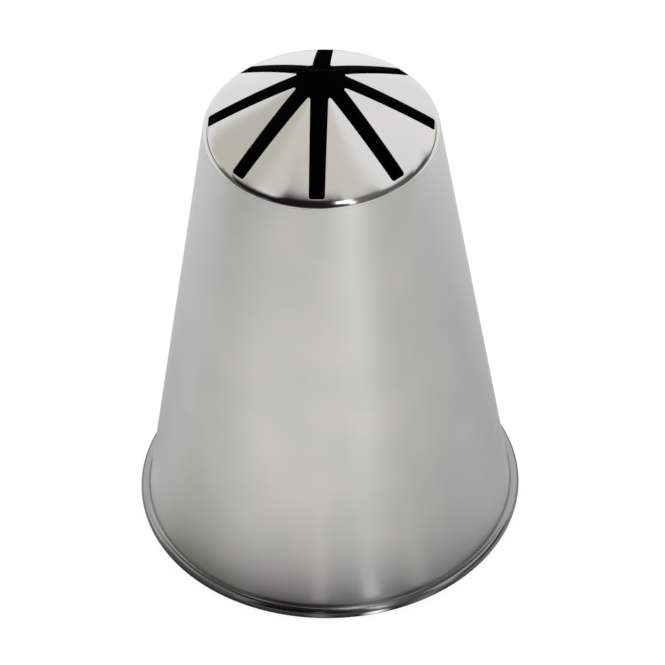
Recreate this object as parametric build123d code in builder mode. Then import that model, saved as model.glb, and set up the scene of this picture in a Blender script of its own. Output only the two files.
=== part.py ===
from build123d import *
import os
from math import asin, atan, atan2, cos, degrees, hypot, sin, tan

# Piping nozzle with a slotted, crowned tip. Millimetres, standing on its wide end, axis along +Z.
# A thin cone has its wide edge rolled outward into a bead. A pressed cap with radial slots closes
# the narrow end: half of its wall steps inside half of the cone's wall, so that the joint is
# flush on both sides, and a ring of braze fills the groove under the cap's lip.

# Cone, and the gauge of the sheet that both pressed pieces are made from
rim_diameter = 35.0
corner_diameter = 20.8
corner_height = 44.4
sheet = 0.45

# Bead rolled on the wide end
bead_diameter = 1.22
bead_curl_gap = 0.1
bead_foot_depth = 0.04

# Cap
crown_rise = 6.4
crown_bulge = 0.23
shoulder_radius = 1.04
shoulder_land = 0.04

# Slots
slot_count = 8
hub_radius = 2.3
slot_hub_width = 1.56
slot_end_width = 1.37
slot_end_inset = 0.06
slot_corner_radius = 0.2
petal_tip_radius = 0.18

# Joint of the cap and the cone
lap_depth = 0.22
lap_length = 1.6
lap_clearance = 0.03
braze_height = 0.4

# Every cut runs past what it cuts by this much
overrun = 2.0

# The cone's outer face touches the hollow of the curl, and runs up to the corner where the lines
# of the cone and the crown would meet if the shoulder were sharp
bead_radius = bead_diameter / 2
curl_hollow_radius = bead_radius - sheet
bead_centre_radius = rim_diameter / 2 - bead_radius
bead_centre_height = bead_radius - bead_foot_depth
corner_radius = corner_diameter / 2
cone_run = bead_centre_radius - corner_radius
cone_rise = corner_height - bead_centre_height
taper = atan2(cone_run, cone_rise) - asin(curl_hollow_radius / hypot(cone_run, cone_rise))


def wall_point(height, depth=0.0):
    """Point of the section at a height, at a depth inside the outer face of the cone."""
    return (corner_radius + (corner_height - height) * tan(taper) - depth / cos(taper), height)


def bead_point(inward, along=0.0):
    """Point of the section, measured from the bead's centre square to the cone and up along it."""
    radius = bead_centre_radius - inward * cos(taper) - along * sin(taper)
    height = bead_centre_height - inward * sin(taper) + along * cos(taper)
    return (radius, height)


# The crown is an arc from that corner to a point on the axis, bulged a little above its chord
crown_chord = hypot(corner_radius, crown_rise)
crown_slope = atan2(crown_rise, corner_radius)
crown_half_turn = 2 * atan(2 * crown_bulge / crown_chord)
crown_radius = crown_chord / (2 * sin(crown_half_turn))
crown_centre_drop = crown_radius * cos(crown_half_turn)
crown_centre_x = corner_radius / 2 - crown_centre_drop * sin(crown_slope)
crown_centre_z = corner_height + crown_rise / 2 - crown_centre_drop * cos(crown_slope)
crown_apex_height = corner_height + crown_rise


def crown_point(share, depth=0.0):
    """Point of the crown, from the corner at share 0 to the axis at 1, at a depth under its face."""
    angle = crown_slope + crown_half_turn * (1 - 2 * share)
    reach = crown_radius - depth
    return (crown_centre_x + reach * sin(angle), crown_centre_z + reach * cos(angle))


# The cap's seat is a flat ring just under the rounding of the shoulder
shoulder_turn = atan2(cone_rise, cone_run) - crown_slope - crown_half_turn
shoulder_tangent = shoulder_radius * tan(shoulder_turn / 2)
seat_height = corner_height - (shoulder_tangent + shoulder_land) * cos(taper)
lip_foot_height = seat_height - lap_length
rabbet_height = lip_foot_height - braze_height

# The slots run out just short of the inner wall, and meet in the open hub
slot_end_radius = wall_point(seat_height, sheet)[0] - slot_end_inset
slot_taper = (slot_hub_width - slot_end_width) / (slot_end_radius - hub_radius)
slot_axis_width = slot_hub_width + slot_taper * hub_radius

print(f"half angle of the cone {degrees(taper):.2f} degrees")
print(f"slope of the crown at the shoulder {degrees(crown_slope + crown_half_turn):.1f} degrees")
print(f"seat of the cap at {seat_height:.2f} mm, slots out to a radius of {slot_end_radius:.2f} mm")

# Cone body: the wall with its wide edge rolled outward until the cut edge nearly meets the wall,
# and the inner half of its narrow edge turned away to take the lip of the cap
with BuildPart() as cone_body:
    with BuildSketch(Plane.XZ):
        with BuildLine():
            Polyline(
                bead_point(curl_hollow_radius),
                wall_point(seat_height),
                wall_point(seat_height, lap_depth),
                wall_point(rabbet_height, lap_depth),
                wall_point(rabbet_height, sheet),
                bead_point(bead_radius),
                close=True,
            )
        make_face()
        with Locations((bead_centre_radius, bead_centre_height)):
            Circle(bead_radius)
            Circle(curl_hollow_radius, mode=Mode.SUBTRACT)
        with BuildLine():
            Polyline(
                bead_point(curl_hollow_radius),
                bead_point(curl_hollow_radius - bead_curl_gap),
                bead_point(curl_hollow_radius - bead_curl_gap, bead_diameter),
                bead_point(curl_hollow_radius, bead_diameter),
                close=True,
            )
        make_face(mode=Mode.SUBTRACT)
        with Locations((bead_centre_radius, 0)):
            Rectangle(bead_diameter, bead_diameter, align=(Align.CENTER, Align.MAX), mode=Mode.SUBTRACT)
    revolve(axis=Axis.Z)
cone_body.part.label = "cone_body"

# Slotted cap: the crown, the rounded shoulder, and a lip that steps down inside the cone
with BuildPart() as slotted_cap:
    with BuildSketch(Plane.XZ) as cap_section:
        with BuildLine():
            ThreePointArc(crown_point(1), crown_point(0.5), crown_point(0))
            Polyline(
                crown_point(0),
                wall_point(seat_height),
                wall_point(seat_height, lap_depth + lap_clearance),
                wall_point(lip_foot_height, lap_depth + lap_clearance),
                (0, lip_foot_height),
                crown_point(1),
            )
        make_face()
        shoulder_corner = cap_section.vertices().sort_by_distance(crown_point(0))[0]
        fillet(shoulder_corner, radius=shoulder_radius)
    revolve(axis=Axis.Z)
    with BuildSketch(Plane.XZ) as hollow_section:
        with BuildLine():
            Polyline(
                (0, crown_apex_height),
                wall_point(crown_apex_height, sheet),
                wall_point(lip_foot_height - overrun, sheet),
                (0, lip_foot_height - overrun),
                close=True,
            )
        make_face()
        with Locations((crown_centre_x, crown_centre_z)):
            Circle(crown_radius - sheet, mode=Mode.INTERSECT)
        bend_corner = hollow_section.vertices().sort_by_distance(crown_point(0, sheet))[0]
        fillet(bend_corner, radius=shoulder_radius - sheet)
    revolve(axis=Axis.Z, mode=Mode.SUBTRACT)
    with BuildSketch(Plane.XY.offset(crown_apex_height)) as slot_star:
        with PolarLocations(0, slot_count):
            Polygon(
                (0, -slot_axis_width / 2),
                (slot_end_radius, -slot_end_width / 2),
                (slot_end_radius, slot_end_width / 2),
                (0, slot_axis_width / 2),
                align=None,
            )
        star_corners = slot_star.vertices().sort_by_distance((0, 0))
        petal_tips = star_corners[:slot_count]
        slot_corners = star_corners[slot_count:]
        fillet(petal_tips, radius=petal_tip_radius)
        fillet(slot_corners, radius=slot_corner_radius)
    extrude(amount=lip_foot_height - overrun - crown_apex_height, mode=Mode.SUBTRACT)
slotted_cap.part.label = "slotted_cap"

# Braze ring: fills the groove between the foot of the lip and the step in the cone's wall
with BuildPart() as cap_braze_ring:
    with BuildSketch(Plane.XZ):
        with BuildLine():
            Polyline(
                wall_point(rabbet_height, lap_depth),
                wall_point(lip_foot_height, lap_depth),
                wall_point(lip_foot_height, sheet),
                wall_point(rabbet_height, sheet),
                close=True,
            )
        make_face()
    revolve(axis=Axis.Z)
cap_braze_ring.part.label = "cap_braze_ring"

os.makedirs("parts", exist_ok=True)
export_step(cone_body.part, "parts/cone_body.step")
export_step(slotted_cap.part, "parts/slotted_cap.step")
export_step(cap_braze_ring.part, "parts/cap_braze_ring.step")
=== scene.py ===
"""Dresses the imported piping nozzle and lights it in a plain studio.

The nozzle stands on its wide end with its axis along +Z, and lengths are in metres. The brushed
cone with its rolled bead, the polished slotted cap and the seam of braze are meshes of their own,
each in the place of its solid in the frame.
"""

from __future__ import annotations

import logging
import math
from collections.abc import Callable, Sequence
from dataclasses import dataclass
from enum import Enum
from functools import cached_property
from typing import ClassVar

import bpy
from mathutils import Matrix, Vector

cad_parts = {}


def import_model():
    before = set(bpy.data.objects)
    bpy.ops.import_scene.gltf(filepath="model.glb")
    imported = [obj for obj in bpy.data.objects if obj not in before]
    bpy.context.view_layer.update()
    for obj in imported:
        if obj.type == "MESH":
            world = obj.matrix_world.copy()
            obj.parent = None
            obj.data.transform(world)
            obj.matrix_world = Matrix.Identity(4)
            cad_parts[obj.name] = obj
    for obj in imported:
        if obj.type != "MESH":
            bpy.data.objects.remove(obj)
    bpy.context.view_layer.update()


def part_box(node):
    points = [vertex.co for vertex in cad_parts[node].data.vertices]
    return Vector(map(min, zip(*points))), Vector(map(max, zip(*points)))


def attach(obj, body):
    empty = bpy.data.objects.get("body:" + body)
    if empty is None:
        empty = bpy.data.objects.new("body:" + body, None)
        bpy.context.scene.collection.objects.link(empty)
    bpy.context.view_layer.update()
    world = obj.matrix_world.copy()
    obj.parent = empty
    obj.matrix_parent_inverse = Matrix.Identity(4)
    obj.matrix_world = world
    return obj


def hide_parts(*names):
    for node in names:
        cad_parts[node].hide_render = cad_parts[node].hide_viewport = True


LOG = logging.getLogger("piping_nozzle")
MM = 0.001
MICRON = 0.001 * MM
BODY = "root"

Point2 = tuple[float, float]
Place = tuple[float, float, float]
Range = tuple[float, float]
Colour = tuple[float, float, float]
Corner = tuple[Place, Vector]
Socket = bpy.types.NodeSocket

WHITE: Colour = (1.0, 1.0, 1.0)


class Finish(Enum):
    """Finishes of the nozzle's surfaces, one material each."""

    SATIN = "satin_steel"
    POLISHED = "polished_steel"
    # The bead's steel is darker than the polished steel: painted shade that dims its reflections.
    BEAD = "rolled_bead_steel_painted_shade"
    # The inside's steel is made dark: painted shade in the hollow, which shows black through the
    # slots.
    INSIDE = "inside_steel_painted_shade"
    # The cut faces are made near black: painted shade on the slots' walls, the lip's foot and the
    # bead's hollow.
    CUT = "cut_edge_steel_painted_shade"
    BRAZE = "braze_metal"


Materials = dict[Finish, bpy.types.Material]


@dataclass(frozen=True)
class Station:
    """A point of a turned section, with the direction that faces out of the metal.

    Attributes:
        radius: Distance from the axis.
        height: Height above the floor.
        out_radius: Part of the outward direction that points away from the axis.
        out_height: Part of the outward direction that points up.
    """

    radius: float
    height: float
    out_radius: float
    out_height: float

    def corner(self, angle: float) -> Corner:
        """Turns the point about the axis.

        Args:
            angle: Angle about the axis, in radians.

        Returns:
            Its place and its outward direction in space.
        """
        across, along = math.cos(angle), math.sin(angle)
        place = (self.radius * across, self.radius * along, self.height)
        return place, Vector((self.out_radius * across, self.out_radius * along, self.out_height))

    def flipped(self) -> Station:
        """Returns the same point facing the other way."""
        return Station(self.radius, self.height, -self.out_radius, -self.out_height)


class SectionPath:
    """Outline of a turned section, walked with the metal on the left hand.

    Each run is smooth in itself, and meets the next run in an edge unless the two are tangent.
    """

    def __init__(self, start: Point2) -> None:
        """Starts the outline at a radius and a height."""
        self.at = start
        self.runs: list[tuple[list[Station], Finish]] = []

    def line(self, end: Point2, finish: Finish, steps: int = 1) -> SectionPath:
        """Adds a straight run.

        Args:
            end: Radius and height of its end.
            finish: Finish of its surface.
            steps: Number of facets along it.

        Returns:
            The path itself, so that runs can be chained.
        """
        outward, upward = end[0] - self.at[0], end[1] - self.at[1]
        length = math.hypot(outward, upward)
        stations = []
        for step in range(steps + 1):
            radius = self.at[0] + outward * step / steps
            height = self.at[1] + upward * step / steps
            stations.append(Station(radius, height, upward / length, -outward / length))
        self.runs.append((stations, finish))
        self.at = end
        return self

    def arc(
        self, centre: Point2, end_angle: float, finish: Finish, steps: int, hollow: bool = False
    ) -> SectionPath:
        """Adds a round run about a centre, from where the path is.

        Args:
            centre: Radius and height of the arc's centre.
            end_angle: Direction from the centre to the arc's end, in radians.
            finish: Finish of its surface.
            steps: Number of facets along it.
            hollow: Whether the metal is outside the arc, which then turns clockwise.

        Returns:
            The path itself, so that runs can be chained.
        """
        reach = math.dist(self.at, centre)
        start_angle = math.atan2(self.at[1] - centre[1], self.at[0] - centre[0])
        turn = (end_angle - start_angle) % math.tau - (math.tau if hollow else 0.0)
        stations = []
        for step in range(steps + 1):
            angle = start_angle + turn * step / steps
            across, up = math.cos(angle), math.sin(angle)
            station = Station(centre[0] + reach * across, centre[1] + reach * up, across, up)
            stations.append(station.flipped() if hollow else station)
        self.runs.append((stations, finish))
        self.at = (stations[-1].radius, stations[-1].height)
        return self

    def change_last_run(self, change: Callable[[Station], Station]) -> None:
        """Passes each station of the last run through a function."""
        stations, finish = self.runs[-1]
        self.runs[-1] = ([change(station) for station in stations], finish)


class Skin:
    """Collects welded points and faces, each face with its finish and a normal at each corner.

    Attributes:
        WELD_DIGITS: Decimals of a metre within which points are the same.
        FEWEST_CORNERS: Fewest corners that make a face.
    """

    WELD_DIGITS: ClassVar[int] = 9
    FEWEST_CORNERS: ClassVar[int] = 3

    def __init__(self) -> None:
        """Starts an empty skin."""
        self._numbers: dict[Place, int] = {}
        self._points: list[Place] = []
        self._faces: list[list[int]] = []
        self._normals: list[Vector] = []
        self._finishes: list[Finish] = []

    def _number(self, place: Place) -> int:
        """Finds the point at a place, and adds it if it is new.

        Args:
            place: Place of the point.

        Returns:
            The point's number.
        """
        x, y, z = (round(part, self.WELD_DIGITS) for part in place)
        key = (x, y, z)
        if key not in self._numbers:
            self._numbers[key] = len(self._points)
            self._points.append(place)
        return self._numbers[key]

    def face(self, corners: Sequence[Corner], finish: Finish) -> None:
        """Adds a face that looks the way its corners do, and leaves out corners that coincide.

        Args:
            corners: Place and outward direction of each corner, in order round the face.
            finish: Finish of the face.
        """
        ring: list[tuple[int, Vector]] = []
        for place, outward in corners:
            number = self._number(place)
            if all(number != other for other, _ in ring):
                ring.append((number, outward))
        if len(ring) < self.FEWEST_CORNERS:
            return
        first, second, third, last = [Vector(self._points[ring[at][0]]) for at in (0, 1, 2, -1)]
        facing = (third - first).cross(last - second)
        if facing.dot(sum((outward for _, outward in ring), Vector())) < 0:
            ring.reverse()
        self._faces.append([number for number, _ in ring])
        self._normals.extend(outward for _, outward in ring)
        self._finishes.append(finish)

    def band(self, lower: Sequence[Corner], upper: Sequence[Corner], finish: Finish) -> None:
        """Fills the band between two open lines of corners with as many points each."""
        for at in range(len(lower) - 1):
            self.face([lower[at], lower[at + 1], upper[at + 1], upper[at]], finish)

    def ring(self, lower: Sequence[Corner], upper: Sequence[Corner], finish: Finish) -> None:
        """Fills the band between two closed rings of corners with as many points each."""
        self.band([*lower, lower[0]], [*upper, upper[0]], finish)

    def sweep(self, section_at: Callable[[float], SectionPath], angles: Sequence[float]) -> None:
        """Joins the sections at a closed ring of angles about the axis.

        Args:
            section_at: Gives the section at an angle, always with the same runs and steps.
            angles: Angles in order once round, in radians.
        """
        sections = [section_at(angle).runs for angle in angles]
        for at, angle in enumerate(angles):
            after = (at + 1) % len(angles)
            for (here, finish), (there, _) in zip(sections[at], sections[after]):
                lower = [station.corner(angle) for station in here]
                upper = [station.corner(angles[after]) for station in there]
                self.band(lower, upper, finish)

    def build(self, name: str, materials: Materials) -> bpy.types.Object:
        """Makes the object.

        Args:
            name: Name of the object.
            materials: Material of each finish.

        Returns:
            The object, linked to the scene.

        Raises:
            ValueError: If the skin isn't closed.
        """
        mesh = bpy.data.meshes.new(name)
        mesh.from_pydata(self._points, [], self._faces)
        used = [finish for finish in Finish if finish in set(self._finishes)]
        for finish in used:
            mesh.materials.append(materials[finish])
        slots = [used.index(finish) for finish in self._finishes]
        mesh.polygons.foreach_set("material_index", slots)
        mesh.polygons.foreach_set("use_smooth", [True] * len(slots))
        mesh.update()
        mesh.normals_split_custom_set([tuple(normal) for normal in self._normals])
        open_sides = 2 * len(mesh.edges) - len(mesh.loops)
        if open_sides:
            raise ValueError(f"the skin of {name} isn't closed: {open_sides} open sides")
        made = bpy.data.objects.new(name, mesh)
        bpy.context.scene.collection.objects.link(made)
        return made


@dataclass(frozen=True)
class NozzleSizes:
    """Sizes of the nozzle in metres. Those without a value here are read from the frame.

    Attributes:
        rim_radius: Outer radius of the bead on the wide end.
        seat_height: Height of the cone's narrow end, where the cap sits.
        lip_foot_height: Height of the foot of the cap's lip, inside the cone.
        groove_foot_height: Height of the foot of the groove that holds the braze.
        sheet: Gauge of the sheet that both pressed pieces are made from.
        corner_radius: Radius where the lines of the cone and the crown would meet.
        corner_height: Height where those lines would meet.
        bead_radius: Radius of the bead's round section.
        bead_foot_depth: Depth of the flat that the bead stands on.
        curl_gap: Gap between the curled edge and the wall.
        buffing_depth: Depth by which polishing has eased the edge between crown and shoulder.
        buffing_reach: Distance over which it has eased the crown beside that edge.
        crown_rise: Rise of the crown from that corner to the axis.
        crown_bulge: Bulge of the crown above a straight line.
        shoulder_radius: Radius of the rounding between the crown and the cone.
        lap_depth: Depth of the cone's half of the joint.
        lap_clearance: Gap between the lip and the cone.
    """

    rim_radius: float
    seat_height: float
    lip_foot_height: float
    groove_foot_height: float
    sheet: float = 0.45 * MM
    corner_radius: float = 10.4 * MM
    corner_height: float = 44.4 * MM
    bead_radius: float = 0.61 * MM
    bead_foot_depth: float = 0.04 * MM
    curl_gap: float = 0.02 * MM
    buffing_depth: float = 0.03 * MM
    buffing_reach: float = 1.2 * MM
    crown_rise: float = 6.4 * MM
    crown_bulge: float = 0.23 * MM
    shoulder_radius: float = 1.04 * MM
    lap_depth: float = 0.22 * MM
    lap_clearance: float = 0.03 * MM

    @classmethod
    def from_frame(cls) -> NozzleSizes:
        """Reads the outer sizes from the solids in the frame.

        Returns:
            The sizes.
        """
        cone_low, cone_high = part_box("cone_body")
        cap_low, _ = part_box("slotted_cap")
        braze_low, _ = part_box("cap_braze_ring")
        return cls(
            rim_radius=(cone_high.x - cone_low.x) / 2,
            seat_height=cone_high.z,
            lip_foot_height=cap_low.z,
            groove_foot_height=braze_low.z,
        )


@dataclass(frozen=True)
class Meridian:
    """Lines of the nozzle's section, worked out from its sizes.

    Attributes:
        sizes: Sizes of the nozzle.
    """

    sizes: NozzleSizes

    @cached_property
    def hollow_radius(self) -> float:
        """Radius of the hollow inside the bead."""
        return self.sizes.bead_radius - self.sizes.sheet

    @cached_property
    def bead_centre(self) -> Point2:
        """Centre of the bead's round section."""
        sizes = self.sizes
        return (sizes.rim_radius - sizes.bead_radius, sizes.bead_radius - sizes.bead_foot_depth)

    @cached_property
    def taper(self) -> float:
        """Half angle of the cone, whose outer face touches the hollow of the bead."""
        run = self.bead_centre[0] - self.sizes.corner_radius
        rise = self.sizes.corner_height - self.bead_centre[1]
        return math.atan2(run, rise) - math.asin(self.hollow_radius / math.hypot(run, rise))

    def wall_point(self, height: float, depth: float = 0.0) -> Point2:
        """Finds a point of the wall.

        Args:
            height: Height of the point.
            depth: Depth inside the outer face, square to it.

        Returns:
            Radius and height of the point.
        """
        sizes = self.sizes
        radius = sizes.corner_radius + (sizes.corner_height - height) * math.tan(self.taper)
        return (radius - depth / math.cos(self.taper), height)

    def bead_point(self, inward: float, along: float = 0.0) -> Point2:
        """Finds a point measured from the bead's centre.

        Args:
            inward: Distance from the centre, square to the wall and towards the axis.
            along: Distance from there up along the wall.

        Returns:
            Radius and height of the point.
        """
        across, up = math.cos(self.taper), math.sin(self.taper)
        radius = self.bead_centre[0] - inward * across - along * up
        return (radius, self.bead_centre[1] - inward * up + along * across)

    @cached_property
    def crown_radius(self) -> float:
        """Radius of the crown's arc."""
        sizes = self.sizes
        chord = math.hypot(sizes.corner_radius, sizes.crown_rise)
        return chord / (2 * math.sin(2 * math.atan(2 * sizes.crown_bulge / chord)))

    @cached_property
    def crown_centre(self) -> Point2:
        """Centre of the crown's arc, square under the middle of its chord."""
        sizes = self.sizes
        slope = math.atan2(sizes.crown_rise, sizes.corner_radius)
        drop = self.crown_radius - sizes.crown_bulge
        middle = (sizes.corner_radius / 2, sizes.corner_height + sizes.crown_rise / 2)
        return (middle[0] - drop * math.sin(slope), middle[1] - drop * math.cos(slope))

    @cached_property
    def shoulder_centre(self) -> Point2:
        """Centre of the shoulder's rounding, which touches both the crown's arc and the wall."""
        sizes = self.sizes
        foot = self.wall_point(sizes.corner_height, sizes.shoulder_radius)
        across, up = math.cos(self.taper), math.sin(self.taper)
        run, rise = foot[0] - self.crown_centre[0], foot[1] - self.crown_centre[1]
        beside = run * across + rise * up
        reach = self.crown_radius - sizes.shoulder_radius
        climb = math.sqrt(reach**2 - beside**2) - (rise * across - run * up)
        return (foot[0] - climb * up, foot[1] + climb * across)

    @cached_property
    def shoulder_angle(self) -> float:
        """Direction from the shoulder's centre to where it meets the crown."""
        run = self.shoulder_centre[0] - self.crown_centre[0]
        return math.atan2(self.shoulder_centre[1] - self.crown_centre[1], run)

    def shoulder_point(self, angle: float, depth: float = 0.0) -> Point2:
        """Finds a point of the shoulder.

        Args:
            angle: Direction of the point from the shoulder's centre.
            depth: Depth under the outer face.

        Returns:
            Radius and height of the point.
        """
        reach = self.sizes.shoulder_radius - depth
        radius = self.shoulder_centre[0] + reach * math.cos(angle)
        return (radius, self.shoulder_centre[1] + reach * math.sin(angle))

    def buffed(self, station: Station) -> Station:
        """Sinks a point of the cap's face where polishing has eased the crown into the shoulder.

        The depth runs off in a cubic on both sides of the edge, and its slope tilts the face.

        Args:
            station: Point of the crown or of the shoulder, before it is eased.

        Returns:
            The point on the eased face.
        """
        sizes, start = self.sizes, self.shoulder_angle
        angle = math.atan2(station.out_height, station.out_radius)
        if angle < start:
            length = sizes.shoulder_radius * (start - self.taper)
            share = min(1.0, (start - angle) / (start - self.taper))
            lead = 3 * length / sizes.buffing_reach
            sink = (2 * share - 3) * share**2 + 1 + lead * share * (1 - share) ** 2
            growth = 6 * share * (share - 1) + lead * (1 - share) * (1 - 3 * share)
            growth /= length
        else:
            before = self.crown_radius * (angle - start)
            share = max(0.0, 1 - before / sizes.buffing_reach)
            sink, growth = share**3, 3 * share**2 / sizes.buffing_reach
        sink, growth = sink * sizes.buffing_depth, growth * sizes.buffing_depth
        across, up = station.out_radius, station.out_height
        turn = math.hypot(1, growth)
        return Station(
            station.radius - sink * across,
            station.height - sink * up,
            (across + growth * up) / turn,
            (up - growth * across) / turn,
        )

    def cap_station(self, radius: float, depth: float = 0.0) -> Station:
        """Finds the station of the cap's face over a radius.

        Args:
            radius: Distance from the axis.
            depth: 0 for the outer face, or the gauge for the underside.

        Returns:
            The station on the crown, or on the shoulder where the radius reaches it.
        """
        centre, reach = self.crown_centre, self.crown_radius - depth
        if radius > self.shoulder_point(self.shoulder_angle, depth)[0]:
            centre, reach = self.shoulder_centre, self.sizes.shoulder_radius - depth
        across = (radius - centre[0]) / reach
        up = math.sqrt(max(0.0, 1 - across**2))
        station = Station(radius, centre[1] + reach * up, across, up)
        return station.flipped() if depth else self.buffed(station)


@dataclass(frozen=True)
class BrushedCone:
    """The cone with its rolled bead.

    Attributes:
        line: Lines of the nozzle's section.
        columns: Number of facets round the axis.
        wall_steps: Number of facets up the wall.
        bead_steps: Number of facets round the bead.
        hollow_steps: Number of facets round the bead's hollow.
        edge_round: Radius of the broken edge at the narrow end.
        edge_steps: Number of facets round that edge.
    """

    line: Meridian
    columns: int = 360
    wall_steps: int = 24
    bead_steps: int = 40
    hollow_steps: int = 16
    edge_round: float = 0.03 * MM
    edge_steps: int = 4

    def section(self) -> SectionPath:
        """Walks the closed section, from the seat down the inside and back up the outside.

        Returns:
            The section.
        """
        line, sizes = self.line, self.line.sizes
        edge_height = sizes.seat_height - self.edge_round
        edge_centre = line.wall_point(edge_height, self.edge_round)
        path = SectionPath((edge_centre[0], sizes.seat_height))
        path.line(line.wall_point(sizes.seat_height, sizes.lap_depth), Finish.INSIDE)
        path.line(line.wall_point(sizes.groove_foot_height, sizes.lap_depth), Finish.INSIDE)
        path.line(line.wall_point(sizes.groove_foot_height, sizes.sheet), Finish.INSIDE)
        path.line(line.bead_point(sizes.bead_radius), Finish.INSIDE, self.wall_steps)

        down = math.radians(270)
        foot_half_angle = math.acos(line.bead_centre[1] / sizes.bead_radius)
        foot_end = line.bead_centre[0] + sizes.bead_radius * math.sin(foot_half_angle)
        path.arc(line.bead_centre, down - foot_half_angle, Finish.BEAD, self.edge_steps)
        path.line((foot_end, 0.0), Finish.BEAD)

        slit = line.hollow_radius - sizes.curl_gap
        outer_rise = math.sqrt(sizes.bead_radius**2 - slit**2)
        inner_rise = math.sqrt(line.hollow_radius**2 - slit**2)
        curl_end = line.bead_point(slit, outer_rise)
        curl_end_angle = math.atan2(
            curl_end[1] - line.bead_centre[1], curl_end[0] - line.bead_centre[0]
        )
        facing_wall = math.pi + line.taper
        path.arc(line.bead_centre, curl_end_angle, Finish.BEAD, self.bead_steps)
        path.line(line.bead_point(slit, inner_rise), Finish.CUT)
        path.arc(line.bead_centre, facing_wall, Finish.CUT, self.hollow_steps, hollow=True)

        edge_foot = edge_height + self.edge_round * math.sin(line.taper)
        path.line(line.wall_point(edge_foot), Finish.SATIN, self.wall_steps)
        path.arc(edge_centre, math.pi / 2, Finish.SATIN, self.edge_steps)
        return path

    def build(self, materials: Materials) -> bpy.types.Object:
        """Makes the cone in the place of its solid.

        Args:
            materials: Material of each finish.

        Returns:
            The cone.
        """
        skin = Skin()
        section = self.section()
        angles = [math.tau * number / self.columns for number in range(self.columns)]
        skin.sweep(lambda _: section, angles)
        return skin.build("brushed_cone", materials)


@dataclass(frozen=True)
class PlanPoint:
    """A point of the slots' outline in plan, with the direction that faces into the slot.

    Attributes:
        radius: Distance from the axis.
        angle: Direction from the axis.
        out_angle: Direction that faces into the slot.
    """

    radius: float
    angle: float
    out_angle: float

    def turned(self, turn: float, mirrored: bool = False) -> PlanPoint:
        """Returns the point turned about the axis, and first mirrored in the slot's middle line."""
        side = -1.0 if mirrored else 1.0
        return PlanPoint(self.radius, turn + side * self.angle, turn + side * self.out_angle)

    def wall(self) -> Vector:
        """Returns the direction in space that faces into the slot."""
        return Vector((math.cos(self.out_angle), math.sin(self.out_angle), 0.0))


@dataclass(frozen=True)
class SlotStar:
    """Plan of the slots, which widen a little towards the open hub where they meet.

    Attributes:
        end_radius: Distance from the axis to the slots' ends.
        count: Number of slots.
        hub_radius: Radius at which the width at the hub is measured.
        hub_width: Width of a slot at the hub.
        end_width: Width of a slot at its end.
        corner_radius: Rounding of the corners at a slot's end.
        tip_radius: Rounding of the petals' tips.
        tip_steps: Number of facets along half of a petal's tip.
        edge_steps: Number of facets along a slot's side.
        corner_steps: Number of facets round a corner.
        end_steps: Number of facets along half of a slot's end.
    """

    end_radius: float
    count: int = 8
    hub_radius: float = 2.3 * MM
    hub_width: float = 1.56 * MM
    end_width: float = 1.37 * MM
    corner_radius: float = 0.2 * MM
    tip_radius: float = 0.18 * MM
    tip_steps: int = 6
    edge_steps: int = 26
    corner_steps: int = 5
    end_steps: int = 3

    @cached_property
    def pitch(self) -> float:
        """Angle from one slot to the next."""
        return math.tau / self.count

    @cached_property
    def petal_rows(self) -> int:
        """Number of outline points from a petal's tip to where the slot's corner starts."""
        return self.tip_steps + self.edge_steps + 1

    def half_outline(self, grow: float = 0.0) -> list[PlanPoint]:
        """Walks half of one slot's outline, whose middle line is at angle 0.

        Args:
            grow: Distance by which the slot is widened on all sides.

        Returns:
            The points from the tip of the petal beside the slot to the middle of the slot's end.
        """
        narrowing = (self.hub_width - self.end_width) / (self.end_radius - self.hub_radius) / 2
        axis_half_width = self.hub_width / 2 + narrowing * self.hub_radius
        lean = math.atan(narrowing)
        stretch = 1 / math.cos(lean)
        bisector = self.pitch / 2

        tip_reach = (axis_half_width + self.tip_radius * stretch) / (
            math.sin(bisector) + narrowing * math.cos(bisector)
        )
        tip = Vector((math.cos(bisector), math.sin(bisector))) * tip_reach
        corner_x = self.end_radius - self.corner_radius
        corner_y = axis_half_width - narrowing * corner_x - self.corner_radius * stretch
        corner = Vector((corner_x, corner_y))
        into_slot = -math.pi / 2 - lean
        to_axis = bisector - math.pi

        def point(place: Vector, out_angle: float) -> PlanPoint:
            """Turns a place in plan into a point of the outline."""
            return PlanPoint(place.length, math.atan2(place.y, place.x), out_angle)

        def spoke(angle: float, length: float) -> Vector:
            """Returns the vector of a length in a direction."""
            return Vector((math.cos(angle), math.sin(angle))) * length

        points = []
        for step in range(self.tip_steps):
            out = to_axis + (into_slot - to_axis) * step / self.tip_steps
            points.append(point(tip + spoke(out, self.tip_radius - grow), out))
        edge_start = tip + spoke(into_slot, self.tip_radius - grow)
        edge_end = corner - spoke(into_slot, self.corner_radius + grow)
        for step in range(self.edge_steps):
            place = edge_start.lerp(edge_end, step / self.edge_steps)
            points.append(point(place, into_slot))
        for step in range(self.corner_steps):
            out = into_slot + (-math.pi - into_slot) * step / self.corner_steps
            points.append(point(corner - spoke(out, self.corner_radius + grow), out))
        end_top = Vector((self.end_radius + grow, corner.y))
        end_middle = Vector((self.end_radius + grow, 0.0))
        for step in range(self.end_steps + 1):
            points.append(point(end_top.lerp(end_middle, step / self.end_steps), -math.pi))
        return points

    def perimeter(self, grow: float = 0.0) -> list[PlanPoint]:
        """Walks the whole outline of the star, round every petal and every slot's end.

        Args:
            grow: Distance by which the slots are widened on all sides.

        Returns:
            The points in order once round.
        """
        half = self.half_outline(grow)
        points = []
        for number in range(self.count):
            turn = number * self.pitch
            after = turn + self.pitch
            points += [at.turned(turn) for at in reversed(half[:-1])]
            points += [at.turned(after, mirrored=True) for at in half[1:]]
        return points


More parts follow.
